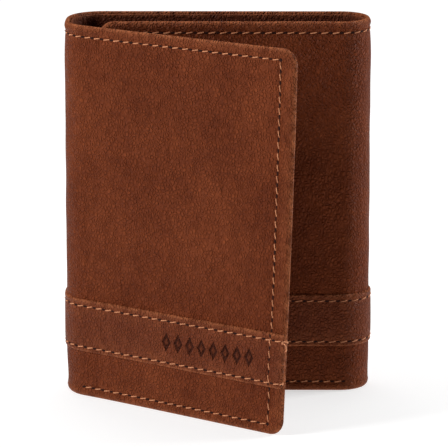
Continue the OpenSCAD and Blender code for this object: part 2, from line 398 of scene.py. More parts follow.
# ---------------------------------------------------------------- sheets laid on the course
@dataclass
class Sheet:
    """A closed sheet laid on the course between two depths that meet at its free edges."""

    name: str
    s_lines: Array
    z_lines: Array
    outer: Depth
    inner: Depth
    free: tuple[bool, bool] = (True, True)
    corner: float = 0.0
    hole: Sequence[float] = ()
    stamp: Optional[Callable[[Array, Array], Array]] = None
    # Strength of the paler edges: real scuffing, and painted highlight on the margins.
    worn_and_highlit: float = 1.0
    # Reach of the narrow scuffed edge and of the broad painted highlight on the raised margin, in
    # mm.
    rub_and_highlight: tuple[float, float] = (0.55, 3.5)

    def rounded(self) -> tuple[Array, Array, Array]:
        """Grid of s and z with rounded free corners, and the distance to the nearest free edge."""
        s, z = np.meshgrid(self.s_lines, self.z_lines, indexing="ij")
        z0, z1 = self.z_lines[0], self.z_lines[-1]
        d = np.minimum(z - z0, z1 - z)
        for is_free, end, sign in zip(self.free, (self.s_lines[0], self.s_lines[-1]), (1, -1)):
            if not is_free:
                continue
            a = sign * (s - end)
            d = np.minimum(d, a)
            for foot, up in ((z0, 1), (z1, -1)):
                b = up * (z - foot)
                if self.corner <= 0:
                    continue
                x, y = 1 - a / self.corner, 1 - b / self.corner
                inside = (x > 0) & (y > 0)
                x, y = np.clip(x, 0, 1), np.clip(y, 0, 1)
                x2, y2 = x * np.sqrt(1 - y * y / 2), y * np.sqrt(1 - x * x / 2)
                s = np.where(inside, end + sign * self.corner * (1 - x2), s)
                z = np.where(inside, foot + up * self.corner * (1 - y2), z)
                d = np.where(inside, self.corner * (1 - np.hypot(x2, y2)), d)
        if self.hole:
            a0, a1, b0, b1 = self.hole
            gap = np.maximum(np.maximum(a0 - s, s - a1), np.maximum(b0 - z, z - b1))
            d = np.minimum(d, np.abs(gap))
        return s, z, np.maximum(d, 0)

    def build(self) -> bpy.types.Object:
        """Makes the mesh, with its lay, stamp and paler-edge attributes, the paler edges being
        scuffing and painted highlight.
        """
        s, z, d = self.rounded()
        ids = np.arange(s.size).reshape(s.shape)
        sides = []
        for depth in (self.outer, self.inner):
            t = np.broadcast_to(depth(s, z, d), s.shape)
            sides.append(np.stack([s.ravel(), t.ravel(), z.ravel()], 1))
        lay = np.concatenate(sides)
        cell = np.stack([ids[:-1, :-1], ids[1:, :-1], ids[1:, 1:], ids[:-1, 1:]], -1)
        cell = cell.reshape(-1, 4)
        if self.hole:
            a0, a1, b0, b1 = self.hole
            mid = lay[cell].mean(axis=1)
            out = (mid[:, 0] < a0) | (mid[:, 0] > a1) | (mid[:, 2] < b0) | (mid[:, 2] > b1)
            cell = cell[out]
        edge = np.concatenate([ids[:, 0], ids[-1, 1:], ids[::-1, -1][1:], ids[0, ::-1][1:]])
        rim = np.stack([edge[:-1], edge[1:], edge[1:] + s.size, edge[:-1] + s.size], 1)
        faces = np.concatenate([cell[:, ::-1], cell + s.size, rim])
        # The narrow term is scuffing at the very edge; the broad term is painted highlight where the
        # puffed margin catches light.
        sharp, soft = (np.exp(-((d / reach) ** 2)) for reach in self.rub_and_highlight)
        wear = self.worn_and_highlit * (0.8 * sharp + 0.2 * soft).ravel()
        stamp = self.stamp(s, z).ravel() if self.stamp else np.zeros(s.size)
        data = {"wear": np.tile(wear, 2), "stamp": np.concatenate([stamp, np.zeros(s.size)])}
        return solid(self.name, COURSE.place(*lay.T), faces, lay, data)


def add(name: str, data: Any) -> bpy.types.Object:
    """Links a new object to the scene."""
    made = bpy.data.objects.new(name, data)
    bpy.context.collection.objects.link(made)
    return made


def store(mesh: bpy.types.Mesh, name: str, values: Array) -> None:
    """Gives each corner of a mesh a number or a vector."""
    kind, key = ("FLOAT", "value") if values.ndim == 1 else ("FLOAT_VECTOR", "vector")
    column = mesh.attributes.new(name, kind, "POINT").data
    column.foreach_set(key, values.astype(np.float32).ravel())


def solid(name: str, points: Array, faces: Array, lay: Array,
          data: dict[str, Array]) -> bpy.types.Object:
    """A closed mesh object from loose corner tables.

    Args:
        name: name of the piece.
        points: corners in metres.
        faces: quads by corner number.
        lay: each corner's s, t and z.
        data: other values of each corner, by name.

    Returns:
        The object, with equal corners merged and its faces pointing outwards.
    """
    keys = np.round(points / WELD).astype(np.int64)
    _, first, same = np.unique(keys, axis=0, return_index=True, return_inverse=True)
    points, tidy = points[first], []
    for quad in same.ravel()[faces].tolist():
        ring = [v for i, v in enumerate(quad) if v != quad[i - 1]]
        if len(set(ring)) == len(ring) and len(ring) > 2:
            tidy.append(ring)
    corner = [points[[f[0], f[i], f[i + 1]]] for f in tidy for i in range(1, len(f) - 1)]
    tri = np.array(corner)
    if np.einsum("ij,ij->i", tri[:, 0], np.cross(tri[:, 1], tri[:, 2])).sum() < 0:
        tidy = [f[::-1] for f in tidy]
    mesh = bpy.data.meshes.new(name)
    mesh.from_pydata(points.tolist(), [], tidy)
    mesh.validate()
    mesh.polygons.foreach_set("use_smooth", np.ones(len(mesh.polygons), bool))
    mesh.set_sharp_from_angle(angle=SHARP)
    for key, values in {"lay": lay, **data}.items():
        store(mesh, key, values[first])
    mesh.update()
    return add(name, mesh)


# ---------------------------------------------------------------- shader maths
class Shade:
    """A shader socket whose arithmetic adds nodes."""

    def __init__(self, tree: bpy.types.NodeTree, socket: Any) -> None:
        """Keeps the tree and the socket."""
        self.tree, self.socket = tree, socket

    def _math(self, operation: str, *values: Any, clamp: bool = False) -> "Shade":
        """Adds a Math node."""
        return node(self.tree, "ShaderNodeMath", {"operation": operation, "use_clamp": clamp},
                    dict(enumerate(values)))

    def __add__(self, other: Any) -> "Shade":
        """Sum."""
        return self._math("ADD", self, other)

    __radd__ = __add__

    def __mul__(self, other: Any) -> "Shade":
        """Product."""
        return self._math("MULTIPLY", self, other)

    __rmul__ = __mul__

    def __sub__(self, other: Any) -> "Shade":
        """Difference."""
        return self._math("SUBTRACT", self, other)

    def __rsub__(self, other: Any) -> "Shade":
        """Difference from a number."""
        return self._math("SUBTRACT", other, self)

    def above(self, limit: float) -> "Shade":
        """1 where the value is more than a limit, and 0 elsewhere."""
        return self._math("GREATER_THAN", self, limit)

    def held(self) -> "Shade":
        """The value kept between 0 and 1."""
        return self._math("ADD", self, 0.0, clamp=True)

    def span(self, low: float, high: float) -> "Shade":
        """A smooth step that rises from 0 at low to 1 at high."""
        return node(self.tree, "ShaderNodeMapRange", {"interpolation_type": "SMOOTHSTEP"},
                    {0: self, 1: low, 2: high})


def node(tree: bpy.types.NodeTree, kind: str, settings: dict[str, Any],
         inputs: dict[Any, Any], output: Union[int, str] = 0) -> Shade:
    """Adds any node.

    Args:
        tree: the tree it goes in.
        kind: type of the node.
        settings: its properties, set first.
        inputs: values or links, by the socket's name or number.
        output: the socket to hand back.

    Returns:
        The chosen output.
    """
    made = tree.nodes.new(kind)
    for key, value in settings.items():
        if key == "stops":
            ramp = made.color_ramp
            while len(ramp.elements) < len(value):
                ramp.elements.new(0.5)
            for element, (at, colour) in zip(ramp.elements, value):
                element.position, element.color = at, (*colour, 1)
        else:
            setattr(made, key, value)
    for key, value in inputs.items():
        socket = made.inputs[key]
        if isinstance(value, Shade):
            tree.links.new(value.socket, socket)
        else:
            socket.default_value = value
    return Shade(tree, made.outputs[output])


Colour = tuple[float, float, float]


def srgb(red: int, green: int, blue: int) -> Colour:
    """A screen colour as linear light."""
    values = (v / 255 for v in (red, green, blue))
    return tuple(v / 12.92 if v <= 0.04045 else ((v + 0.055) / 1.055) ** 2.4 for v in values)


@dataclass(frozen=True)
class Finish:
    """A finish that paints a Principled shader."""

    name: str

    def make(self) -> bpy.types.Material:
        """Builds the material."""
        material = bpy.data.materials.new(self.name)
        material.use_nodes = True
        tree = material.node_tree
        tree.nodes.clear()
        surface = node(tree, "ShaderNodeBsdfPrincipled", {}, self.paint(tree))
        out = tree.nodes.new("ShaderNodeOutputMaterial")
        tree.links.new(surface.socket, out.inputs["Surface"])
        return material

    def paint(self, tree: bpy.types.NodeTree) -> dict[str, Any]:
        """Values and links of the Principled shader's sockets."""
        raise NotImplementedError


def lay_at(tree: bpy.types.NodeTree, scale: Colour) -> Shade:
    """The sheet's own s, t and z, stretched by a factor along each."""
    lay = node(tree, "ShaderNodeAttribute", {"attribute_name": "lay"}, {}, "Vector")
    return node(tree, "ShaderNodeVectorMath", {"operation": "MULTIPLY"}, {0: lay, 1: scale})


def object_at(tree: bpy.types.NodeTree, scale: Colour) -> Shade:
    """Object coordinates in millimetres, stretched by a factor along each."""
    place = node(tree, "ShaderNodeTexCoord", {}, {}, "Object")
    return node(tree, "ShaderNodeVectorMath", {"operation": "MULTIPLY"},
                {0: place, 1: tuple(v / MM for v in scale)})


def noise(tree: bpy.types.NodeTree, at: Shade, scale: float, detail: float = 2.0,
          rough: float = 0.5) -> Shade:
    """Noise with a given number of blobs to the millimetre."""
    return node(tree, "ShaderNodeTexNoise", {},
                {"Vector": at, "Scale": scale, "Detail": detail, "Roughness": rough})


def mixed(tree: bpy.types.NodeTree, factor: Shade, low: Any, high: Any) -> Shade:
    """A colour between two others."""
    low, high = ((*v, 1) if isinstance(v, tuple) else v for v in (low, high))
    return node(tree, "ShaderNodeMix", {"data_type": "RGBA"}, {0: factor, 6: low, 7: high}, 2)


def value_of(tree: bpy.types.NodeTree, name: str) -> Shade:
    """A number that each corner of the sheet carries."""
    return node(tree, "ShaderNodeAttribute", {"attribute_name": name}, {}, "Fac")


def raised(tree: bpy.types.NodeTree, height: Shade, reach: float, strength: float) -> Shade:
    """A normal that shows a height, whose full step is reach millimetres."""
    return node(tree, "ShaderNodeBump", {},
                {"Strength": strength, "Distance": reach * MM, "Height": height})


@dataclass(frozen=True)
class Leather(Finish):
    """Waxed full-grain leather: mottled, with fine creases, pores, and paler edges that are partly
    scuffed and partly painted highlight.
    """

    deep: Colour = srgb(72, 26, 8)
    plain: Colour = srgb(106, 48, 22)
    pale: Colour = srgb(136, 68, 36)
    # Colour of the paler edges, partly scuffing and partly painted highlight.
    worn_and_highlit: Colour = srgb(176, 104, 66)
    pressed: Colour = srgb(44, 18, 12)
    grain: float = 0.35
    gloss: float = 0.55
    clouds: float = 0.05
    patches: float = 0.4
    creases: float = 0.34
    pores: float = 1.9
    cells: Colour = (1.15, 1.15, 0.95)
    drawn: Colour = (1.0, 1.0, 0.45)

    def paint(self, tree: bpy.types.NodeTree) -> dict[str, Any]:
        """Colour, roughness and bump from the sheet's own coordinates."""
        flat = lay_at(tree, (1, 1, 1))
        cloud = noise(tree, flat, self.clouds, 3.0, 0.55)
        patch = noise(tree, flat, self.patches, 2.5, 0.55)
        pore = noise(tree, flat, self.pores, 4.0, 0.7)
        ridges = {"noise_type": "RIDGED_MULTIFRACTAL", "normalize": True}
        crease = node(tree, "ShaderNodeTexNoise", ridges,
                      {"Vector": lay_at(tree, self.drawn), "Scale": self.creases, "Detail": 4.0,
                       "Roughness": 0.62, "Distortion": 0.5})
        seams = node(tree, "ShaderNodeTexVoronoi", {"feature": "DISTANCE_TO_EDGE"},
                     {"Vector": lay_at(tree, self.cells), "Scale": 1.0}).span(0.0, 0.3)
        wear, stamp = value_of(tree, "wear"), value_of(tree, "stamp")
        tone = (cloud - 0.5) * 0.65 + (patch - 0.5) * 0.35 + (pore - 0.5) * 0.3 + 0.56
        stops = ((0.14, self.deep), (0.5, self.plain), (0.86, self.pale))
        base = node(tree, "ShaderNodeValToRGB", {"stops": stops}, {0: tone.held()})
        base = mixed(tree, (1.0 - seams) * 0.3, base, self.deep)
        base = mixed(tree, crease.span(0.45, 0.95) * 0.28, base, self.deep)
        # Paler edges: real scuffing plus painted highlight on the margins.
        rub_and_highlight = (wear * (patch.span(0.3, 0.62) * 0.7 + 0.3)).held() * 0.75
        base = mixed(tree, rub_and_highlight, base, self.worn_and_highlit)
        base = mixed(tree, (stamp * 0.8).held(), base, self.pressed)
        height = seams * 0.9 + pore * 0.5 - crease * 1.3 + patch
        rough = self.gloss + (patch - 0.5) * 0.25 + (pore - 0.5) * 0.15 + stamp * 0.1 - wear * 0.08
        return {"Base Color": base, "Roughness": rough.held(), "Specular IOR Level": 0.07,
                "Normal": raised(tree, height, self.grain, 1.0)}


@dataclass(frozen=True)
class Thread(Finish):
    """Twisted sewing thread."""

    colour: Colour = srgb(222, 150, 104)
    shade: Colour = srgb(172, 104, 66)

    def paint(self, tree: bpy.types.NodeTree) -> dict[str, Any]:
        """Paler and darker strands, with a little bump."""
        at = object_at(tree, (1, 1, 1))
        fibre = noise(tree, at, 3.0, 3.0, 0.6)
        base = mixed(tree, fibre.span(0.3, 0.7), self.shade, self.colour)
        return {"Base Color": base, "Roughness": (fibre * 0.2 + 0.6).held(),
                "Normal": raised(tree, fibre, 0.05, 0.4)}


@dataclass(frozen=True)
class NeedleHoleShade(Finish):
    """Painted shade of a needle hole: a near-black pit where the thread goes in."""

    colour: Colour = srgb(44, 17, 9)
    shade: Colour = srgb(30, 12, 8)

    def paint(self, tree: bpy.types.NodeTree) -> dict[str, Any]:
        """Near-black colour that paints the hole's shade."""
        mark = noise(tree, object_at(tree, (1, 1, 1)), 2.0)
        return {"Base Color": mixed(tree, mark, self.colour, self.shade), "Roughness": 0.85,
                "Specular IOR Level": 0.15}


@dataclass(frozen=True)
class Cloth(Finish):
    """Fine woven cloth, or fibre board where the weave is faint."""

    colour: Colour = srgb(92, 62, 46)
    shade: Colour = srgb(60, 38, 28)
    count: float = 2.4
    depth: float = 1.0

    def paint(self, tree: bpy.types.NodeTree) -> dict[str, Any]:
        """Warp and weft from two waves."""
        at = object_at(tree, (1, 1, 1))
        wave = {"Vector": at, "Scale": self.count, "Distortion": 0.6, "Detail": 1.0}
        warp, weft = (node(tree, "ShaderNodeTexWave", {"bands_direction": axis}, wave, "Fac")
                      for axis in "XZ")
        weave, slub = warp * weft, noise(tree, at, 0.5, 3.0)
        base = mixed(tree, (weave * 0.6 * self.depth + slub * 0.5).held(), self.shade, self.colour)
        return {"Base Color": base, "Roughness": (slub * 0.2 + 0.72).held(),
                "Normal": raised(tree, weave, 0.08, 0.4 * self.depth)}


@dataclass(frozen=True)
class ClearFilm(Finish):
    """Clear window film."""

    def paint(self, tree: bpy.types.NodeTree) -> dict[str, Any]:
        """Mostly see-through, with faint handling marks."""
        marks = noise(tree, object_at(tree, (1, 1, 1)), 0.25, 4.0)
        return {"Base Color": (0.9, 0.92, 0.93, 1), "Roughness": (marks * 0.25 + 0.04).held(),
                "Alpha": (marks * 0.06 + 0.05).held(), "IOR": 1.49}


@dataclass(frozen=True)
class Floor(Finish):
    """Plain white sweep."""

    def paint(self, tree: bpy.types.NodeTree) -> dict[str, Any]:
        """Matt white."""
        return {"Base Color": (0.5, 0.5, 0.5, 1), "Roughness": 0.9, "Specular IOR Level": 0.0,
                "Emission Color": (1, 1, 1, 1), "Emission Strength": 0.62}


class Look(Enum):
    """The finishes of the wallet."""

    OUTER = Leather("outer_leather_grain")
    BAND = Leather("band_leather_grain", deep=srgb(78, 32, 16), plain=srgb(105, 49, 26),
                   pale=srgb(128, 66, 38), gloss=0.5)
    INNER = Leather("inner_leather_grain", deep=srgb(60, 24, 13), plain=srgb(84, 38, 22),
                    pale=srgb(106, 52, 32), grain=0.245)
    THREAD = Thread("sewing_thread")
    HOLE = NeedleHoleShade("needle_hole")
    CLOTH = Cloth("note_pocket_cloth")
    BOARD = Cloth("stiffener_fibre", colour=srgb(120, 100, 80), shade=srgb(90, 72, 56), count=0.8,
                  depth=0.3)
    FILM = ClearFilm("clear_film")
    FLOOR = Floor("white_floor")

    @property
    def material(self) -> bpy.types.Material:
        """The material, made once."""
        return bpy.data.materials.get(self.value.name) or self.value.make()


def dress(piece: bpy.types.Object, look: Look) -> bpy.types.Object:
    """Gives a piece its material."""
    piece.data.materials.clear()
    piece.data.materials.append(look.material)
    LOG.info("%s: %d faces", piece.name, len(piece.data.polygons))
    return piece


def lay_stretch(part: Stretch, sheet: Sheet, look: Look,
                stands_for: dict[str, Names]) -> None:
    """Makes one stretch of a layer, dresses it and hides the CAD nodes that it replaces.

    Args:
        part: the stretch.
        sheet: the layer there, named without the stretch.
        look: its finish.
        stands_for: CAD nodes that the layer replaces, by stretch.
    """
    sheet.name += part.name
    sheet.free = (part.free_low, part.free_high)
    piece = dress(sheet.build(), look)
    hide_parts(*stands_for[part.name])
    part.blend(piece)


# ---------------------------------------------------------------- outer leather
@dataclass
class OuterLeather:
    """The hide that wraps the whole wallet, with its turned hems."""

    corner: float = 4.2
    hem_round: float = 1.3
    hem_drop: float = 0.75
    thickness: float = 1.0
    hem_thickness: float = 1.3
    sewn_thickness: float = 1.5
    tuck_sewn: float = 2.5
    pull: float = 0.2
    unevenness: float = 0.07
    crown: float = 0.12
    bulge: float = 0.16
    stands_for: dict[str, Names] = field(default_factory=lambda: {
        "flap": ("flap_leather", "flap_turned_edge", "left_front_fold_leather"),
        "back_left": ("left_rear_fold_leather", "back_leather", "centre_turned_edge"),
        "back_right": ("right_fold_leather",),
        "tuck": ("tuck_leather", "tuck_turned_edge"),
    })

    def outer(self, s: Array, z: Array, d: Array) -> Array:
        """Depth of the show face."""
        hem = self.hem_drop * (1 - quarter_round(d, self.hem_round))
        raised_by = self.crown * smooth((d - 4) / 5) + self.bulge * np.exp(-(((d - 1.4) / 0.6) ** 2))
        uneven = self.unevenness * smooth(d / 4) * ripple(s, z)
        return hem + self.pull * groove(OUTER_ROWS, s, z) + uneven - raised_by

    @staticmethod
    def in_hem(at: Array) -> Array:
        """1 in the turned hem and 0 beyond it, by the distance to the edge."""
        return smooth((HEM + 0.15 - at) / 0.3)

    def inner(self, s: Array, z: Array, d: Array) -> Array:
        """Depth of the flesh face, thicker where the hem is turned over it."""
        free = np.minimum(s - COURSE.start, COURSE.end - s)
        on_tuck = smooth((s - COURSE.tuck_root - 2) / 2)
        on_flap = smooth((-COURSE.root - s) / 2)
        on_centre = smooth(s + 1) * smooth(COURSE.centre_l + 1 - s)
        panel = np.maximum(on_tuck, np.maximum(on_flap, on_centre))
        sewn = self.sewn_thickness + (self.tuck_sewn - self.sewn_thickness) * on_tuck
        full = self.thickness + (self.hem_thickness - self.thickness) * self.in_hem(TOP - z)
        low = self.in_hem(np.minimum(z, free)) * panel * smooth((TOP - 0.6 - z) / 3)
        full = full + (sewn - full) * low
        return self.hem_drop + (full - self.hem_drop) * quarter_round(d, self.hem_round)

    def z_lines(self) -> Array:
        """Height lines, the same on every stretch."""
        return lines(0, TOP, 1.6, (0, EDGE), (BOTTOM_ROW, SEWN), (HEM, HEM_STEP),
                     (TOP - HEM, HEM_STEP), (TOP_ROW, SEWN), (TOP, EDGE_DOWN),
                     (0, (self.corner,)), (TOP, (-self.corner,)))

    def s_lines(self, part: Stretch) -> Array:
        """Lines along one stretch."""
        step = 1.6 if part.name in ("flap", "tuck") else 1.0
        bend, crease = (-2, -1, 0, 1, 2), (-1, 0, 1)
        return lines(part.low, part.high, step, (COURSE.start, EDGE), (FLAP_ROW, SEWN),
                     (COURSE.start + HEM, HEM_STEP), (COURSE.end, EDGE_DOWN), (TUCK_ROW, SEWN),
                     (COURSE.end - HEM, HEM_STEP), *SEAMS, (COURSE.start, (self.corner,)),
                     (COURSE.end, (-self.corner,)), (-COURSE.root, bend), (COURSE.tuck_root, bend),
                     (0, crease), (COURSE.centre_l, crease))

    def build(self) -> None:
        """Makes the four stretches of hide."""
        for part in STRETCHES:
            sheet = Sheet("outer_leather_", self.s_lines(part), self.z_lines(), self.outer,
                          self.inner, corner=self.corner)
            lay_stretch(part, sheet, Look.OUTER, self.stands_for)


# ---------------------------------------------------------------- band
@dataclass
class Band:
    """The strap sewn round the foot of the wallet, with a pressed row of lozenges on the flap."""

    inset: float = 0.1
    lozenges: int = 8
    lozenge_w: float = 2.9
    lozenge_h: float = 5.2
    lozenge_pitch: float = 3.9
    lozenge_low_u: float = 26.5
    lozenge_z: float = 20.2
    pressed: float = 0.3
    under: float = 0.1
    turned_down: float = 0.55
    stands_for: dict[str, Names] = field(default_factory=lambda: {
        "flap": ("flap_band", "left_front_fold_band"),
        "back_left": ("left_rear_fold_band", "back_band"),
        "back_right": ("right_fold_band",),
        "tuck": ("tuck_band",),
    })

    def lozenge_centres(self) -> Array:
        """The s of each lozenge."""
        along = self.lozenge_low_u + self.lozenge_pitch * (np.arange(self.lozenges) + 0.5)
        return -COURSE.root - along

    def stamp(self, s: Array, z: Array) -> Array:
        """How far a point is pressed in by the row of lozenges, from 0 to 1."""
        deep = np.zeros(np.shape(s))
        for at in self.lozenge_centres():
            high = np.abs(z - self.lozenge_z) / (self.lozenge_h / 2)
            size = np.abs(s - at) / (self.lozenge_w / 2) + high
            ring = smooth((1.06 - size) / 0.14) * (1 - 0.75 * smooth((0.52 - size) / 0.14))
            deep = np.maximum(deep, ring)
        return deep

    def drop(self, s: Array) -> Array:
        """How far the strap is turned down at the free edges."""
        free = np.minimum(s - COURSE.start, COURSE.end - s)
        return self.turned_down * (1 - quarter_round(free, 1.4))

    def outer(self, s: Array, z: Array, d: Array) -> Array:
        """Depth of the strap's face, proud of the leather."""
        face = self.under - (BAND_T + self.under) * quarter_round(d, 0.6)
        sunk = 0.16 * groove(BAND_STITCHES, s, z, 0.45) + self.pressed * self.stamp(s, z)
        return face + sunk + 0.04 * smooth(d / 2) * ripple(s + 9, z + 5) + self.drop(s)

    def inner(self, s: Array, z: Array, d: Array) -> Array:
        """Depth of the strap's underside, just under the leather's face."""
        return self.under + 0.2 * quarter_round(d, 0.4) + self.drop(s)

    def build(self) -> None:
        """Makes the four stretches of strap."""
        rim = (0, 0.05, 0.15, 0.3, 0.6)
        z = lines(BAND_FOOT, BAND_HEAD, 0.8, (BAND_FOOT, rim), (BAND_HEAD, downward(rim)),
                  *((row, SEWN) for row in BAND_ROWS), (self.lozenge_z, np.arange(-3, 3.01, 0.2)))
        for part in STRETCHES:
            low, high = part.ends(self.inset)
            fine = list(SEAMS)
            if part.free_low:
                fine += [(at, np.arange(-2, 2.01, 0.2)) for at in self.lozenge_centres()]
            if part.free_low or part.free_high:
                fine += [(low, EDGE), (high, EDGE_DOWN), (FLAP_ROW, SEWN), (TUCK_ROW, SEWN)]
            sheet = Sheet("band_", lines(low, high, 1.0, *fine), z, self.outer, self.inner,
                          stamp=self.stamp)
            lay_stretch(part, sheet, Look.BAND, self.stands_for)


# ---------------------------------------------------------------- stitching
@dataclass
class Stitching:
    """Machine stitches, and near-black pits of painted shade at the needle holes, laid by Geometry
    Nodes on points of the seams.
    """

    length: float = 1.75
    width: float = 0.34
    rise: float = 0.12
    slant: float = math.radians(11)
    hole_length: float = 1.2
    hole_width: float = 0.6
    hole_height: float = 0.16
    hole_sunk: float = 0.15
    thread_sunk: float = 0.05
    stands_for: dict[str, Names] = field(default_factory=lambda: {
        "flap": ("flap_thread", "left_front_fold_thread"),
        "back_left": ("left_rear_fold_thread", "back_thread"),
        "back_right": ("right_fold_thread",),
        "tuck": ("tuck_thread",),
    })

    @property
    def sizes(self) -> dict[str, float]:
        """The sizes in millimetres, by the name of the tree's input."""
        return {"Stitch length": self.length, "Thread width": self.width, "Rise": self.rise,
                "Hole length": self.hole_length, "Hole width": self.hole_width,
                "Hole height": self.hole_height}

    def tree(self) -> bpy.types.NodeTree:
        """The node tree, with its sizes as named inputs."""
        tree = bpy.data.node_groups.new("stitch_row", "GeometryNodeTree")
        sides = tree.interface
        sides.new_socket("Geometry", in_out="INPUT", socket_type="NodeSocketGeometry")
        for name in self.sizes:
            sides.new_socket(name, in_out="INPUT", socket_type="NodeSocketFloat")
        sides.new_socket("Geometry", in_out="OUTPUT", socket_type="NodeSocketGeometry")
        entry = tree.nodes.new("NodeGroupInput")
        given = {s.name: Shade(tree, s) for s in entry.outputs if s.name}

        def attribute(name: str, kind: str = "FLOAT_VECTOR") -> Shade:
            """A named attribute of the points."""
            settings = {"data_type": kind}
            return node(tree, "GeometryNodeInputNamedAttribute", settings, {"Name": name})

        def vector(x: Any, y: Any, z: Any) -> Shade:
            """A vector from three values."""
            return node(tree, "ShaderNodeCombineXYZ", {}, {0: x, 1: y, 2: z})

        turn = node(tree, "FunctionNodeAxesToRotation",
                    {"primary_axis": "Z", "secondary_axis": "X"},
                    {0: attribute("out"), 1: attribute("along")})
        half, rise = given["Stitch length"] * 0.5, given["Rise"]
        arc = node(tree, "GeometryNodeCurveQuadraticBezier", {},
                   {"Resolution": 4, "Start": vector(half * -1.0, 0.0, rise * -1.0),
                    "Middle": vector(0.0, 0.0, rise * 1.4), "End": vector(half, 0.0, rise * -1.0)})
        ring = node(tree, "GeometryNodeCurvePrimitiveCircle", {},
                    {"Resolution": 6, "Radius": given["Thread width"] * 0.5})
        strand = node(tree, "GeometryNodeCurveToMesh", {},
                      {"Curve": arc, "Profile Curve": ring, "Fill Caps": True})
        ball = node(tree, "GeometryNodeMeshIcoSphere", {}, {"Radius": 0.5, "Subdivisions": 2})
        size = vector(*(given[f"Hole {way}"] for way in ("length", "width", "height")))
        pit = node(tree, "GeometryNodeTransform", {}, {"Geometry": ball, "Scale": size})
        is_hole = attribute("hole", "FLOAT")
        halves = []
        # The hole pits are near-black painted shade where the thread goes into the leather.
        kinds = ((strand, 1.0 - is_hole, Look.THREAD), (pit, is_hole, Look.HOLE))
        for shape, wanted, look in kinds:
            laid = node(tree, "GeometryNodeInstanceOnPoints", {},
                        {"Points": given["Geometry"], "Selection": wanted.above(0.5),
                         "Instance": shape, "Rotation": turn})
            real = node(tree, "GeometryNodeRealizeInstances", {}, {0: laid})
            halves.append(node(tree, "GeometryNodeSetMaterial", {},
                               {"Geometry": real, "Material": look.material}))
        join = tree.nodes.new("GeometryNodeJoinGeometry")
        for part in reversed(halves):
            tree.links.new(part.socket, join.inputs[0])
        leave = tree.nodes.new("NodeGroupOutput")
        tree.links.new(join.outputs[0], leave.inputs[0])
        return tree

    def lay(self, name: str, rows: Sequence[Row], low: float = -math.inf,
            high: float = math.inf) -> bpy.types.Object:
        """Sews the part of some rows that lies between two places on the course.

        Args:
            name: name of the piece.
            rows: the rows.
            low: first s that is kept.
            high: last s, which is not.

        Returns:
            The stitches as one plain mesh.
        """
        found = []
        for row in rows:
            s, z, hole = row.stations()
            keep = (s >= low) & (s < high)
            s, z, hole = s[keep], z[keep], hole[keep]
            if not len(s):
                continue
            side = -1.0 if row.inside else 1.0
            t = row.depth + side * np.where(hole > 0.5, self.hole_sunk, self.thread_sunk)
            along, out, up = COURSE.axes(s, t, z)
            run, cross = (up, along) if row.upright else (along, -up)
            lean = run * math.cos(self.slant) + cross * math.sin(self.slant)
            found.append((COURSE.place(s, t, z), lean, out * side, hole))
        places, *values = (np.concatenate(column) for column in zip(*found))
        mesh = bpy.data.meshes.new(name + "_points")
        mesh.from_pydata(places.tolist(), [], [])
        for key, value in zip(("along", "out", "hole"), values):
            store(mesh, key, value)
        carrier = add(name + "_points", mesh)
        tree = bpy.data.node_groups.get("stitch_row") or self.tree()
        sewing = carrier.modifiers.new("sewing", "NODES")
        sewing.node_group = tree
        for item in tree.interface.items_tree:
            if item.in_out == "INPUT" and item.name in self.sizes:
                sewing[item.identifier] = self.sizes[item.name] * MM
        carrier.update_tag()
        bpy.context.view_layer.update()
        seen = carrier.evaluated_get(bpy.context.evaluated_depsgraph_get())
        plain = bpy.data.meshes.new_from_object(seen)
        plain.name = name
        bpy.data.objects.remove(carrier)
        piece = add(name, plain)
        LOG.info("%s: %d points", name, len(places))
        return piece

    def build(self) -> None:
        """Sews the outer rows, stretch by stretch."""
        for part in STRETCHES:
            rows = OUTER_ROWS + BAND_STITCHES
            piece = self.lay(f"stitches_{part.name}", rows, part.low, part.high)
            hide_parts(*self.stands_for[part.name])
            part.blend(piece)


@dataclass
class LooseEnds:
    """Short curled tails of thread where the band's stitches end at the flap's free edge.

    Each of the curls has its height, how far it reaches past the edge, and how far it climbs.
    """

    width: float = 0.32
    sides: int = 6
    curls: tuple[tuple[float, float, float], ...] = (
        (BAND_ROWS[1], 1.9, 0.6), (BAND_ROWS[1] - 0.4, 1.6, -1.9), (BAND_ROWS[0], 0.9, 0.7))

    def curl(self, z: float, reach: float, lift: float) -> Array:
        """The middle of one tail, from its needle hole out past the edge and back."""
        bend = np.linspace(0, 1, 9)
        s = COURSE.start + 0.7 - reach * np.sin(bend * 2.4)
        t = -BAND_T - 0.16 - 0.35 * np.sin(bend * math.pi) + 0.5 * bend
        return COURSE.place(s, t, z + lift * bend**1.5 + 0.3 * np.sin(bend * 6.0))

    def tube(self, path: Array, first: int) -> tuple[list[list[float]], list[tuple[int, ...]]]:
        """A closed round tube along a path.

        Args:
            path: the middle, in metres.
            first: number of the first corner.

        Returns:
            The corners and the faces.
        """
        run = np.gradient(path, axis=0)
        run /= np.linalg.norm(run, axis=1, keepdims=True)
        side = np.cross(run, (0.3, -0.2, 1.0))
        side /= np.linalg.norm(side, axis=1, keepdims=True)
        rise = np.cross(run, side)
        turn = np.arange(self.sides) * math.tau / self.sides
        ring = side[:, None] * np.cos(turn)[:, None] + rise[:, None] * np.sin(turn)[:, None]
        places = (path[:, None] + ring * self.width / 2 * MM).reshape(-1, 3)
        last = first + (len(path) - 1) * self.sides
        faces = []
        for row in range(first, last, self.sides):
            for a in range(self.sides):
                b = (a + 1) % self.sides
                faces.append((row + a, row + b, row + self.sides + b, row + self.sides + a))
        foot, head = range(first, first + self.sides), range(last, last + self.sides)
        return places.tolist(), faces + [tuple(reversed(foot)), tuple(head)]

    def build(self) -> None:
        """Makes the tails, which move with the flap."""
        places: list[list[float]] = []
        faces: list[tuple[int, ...]] = []
        for curl in self.curls:
            more, sides = self.tube(self.curl(*curl), len(places))
            places += more
            faces += sides
        mesh = bpy.data.meshes.new("loose_thread_ends")
        mesh.from_pydata(places, [], faces)
        mesh.materials.append(Look.THREAD.material)
        mesh.shade_smooth()
        piece = add("loose_thread_ends", mesh)
        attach(piece, "flap")


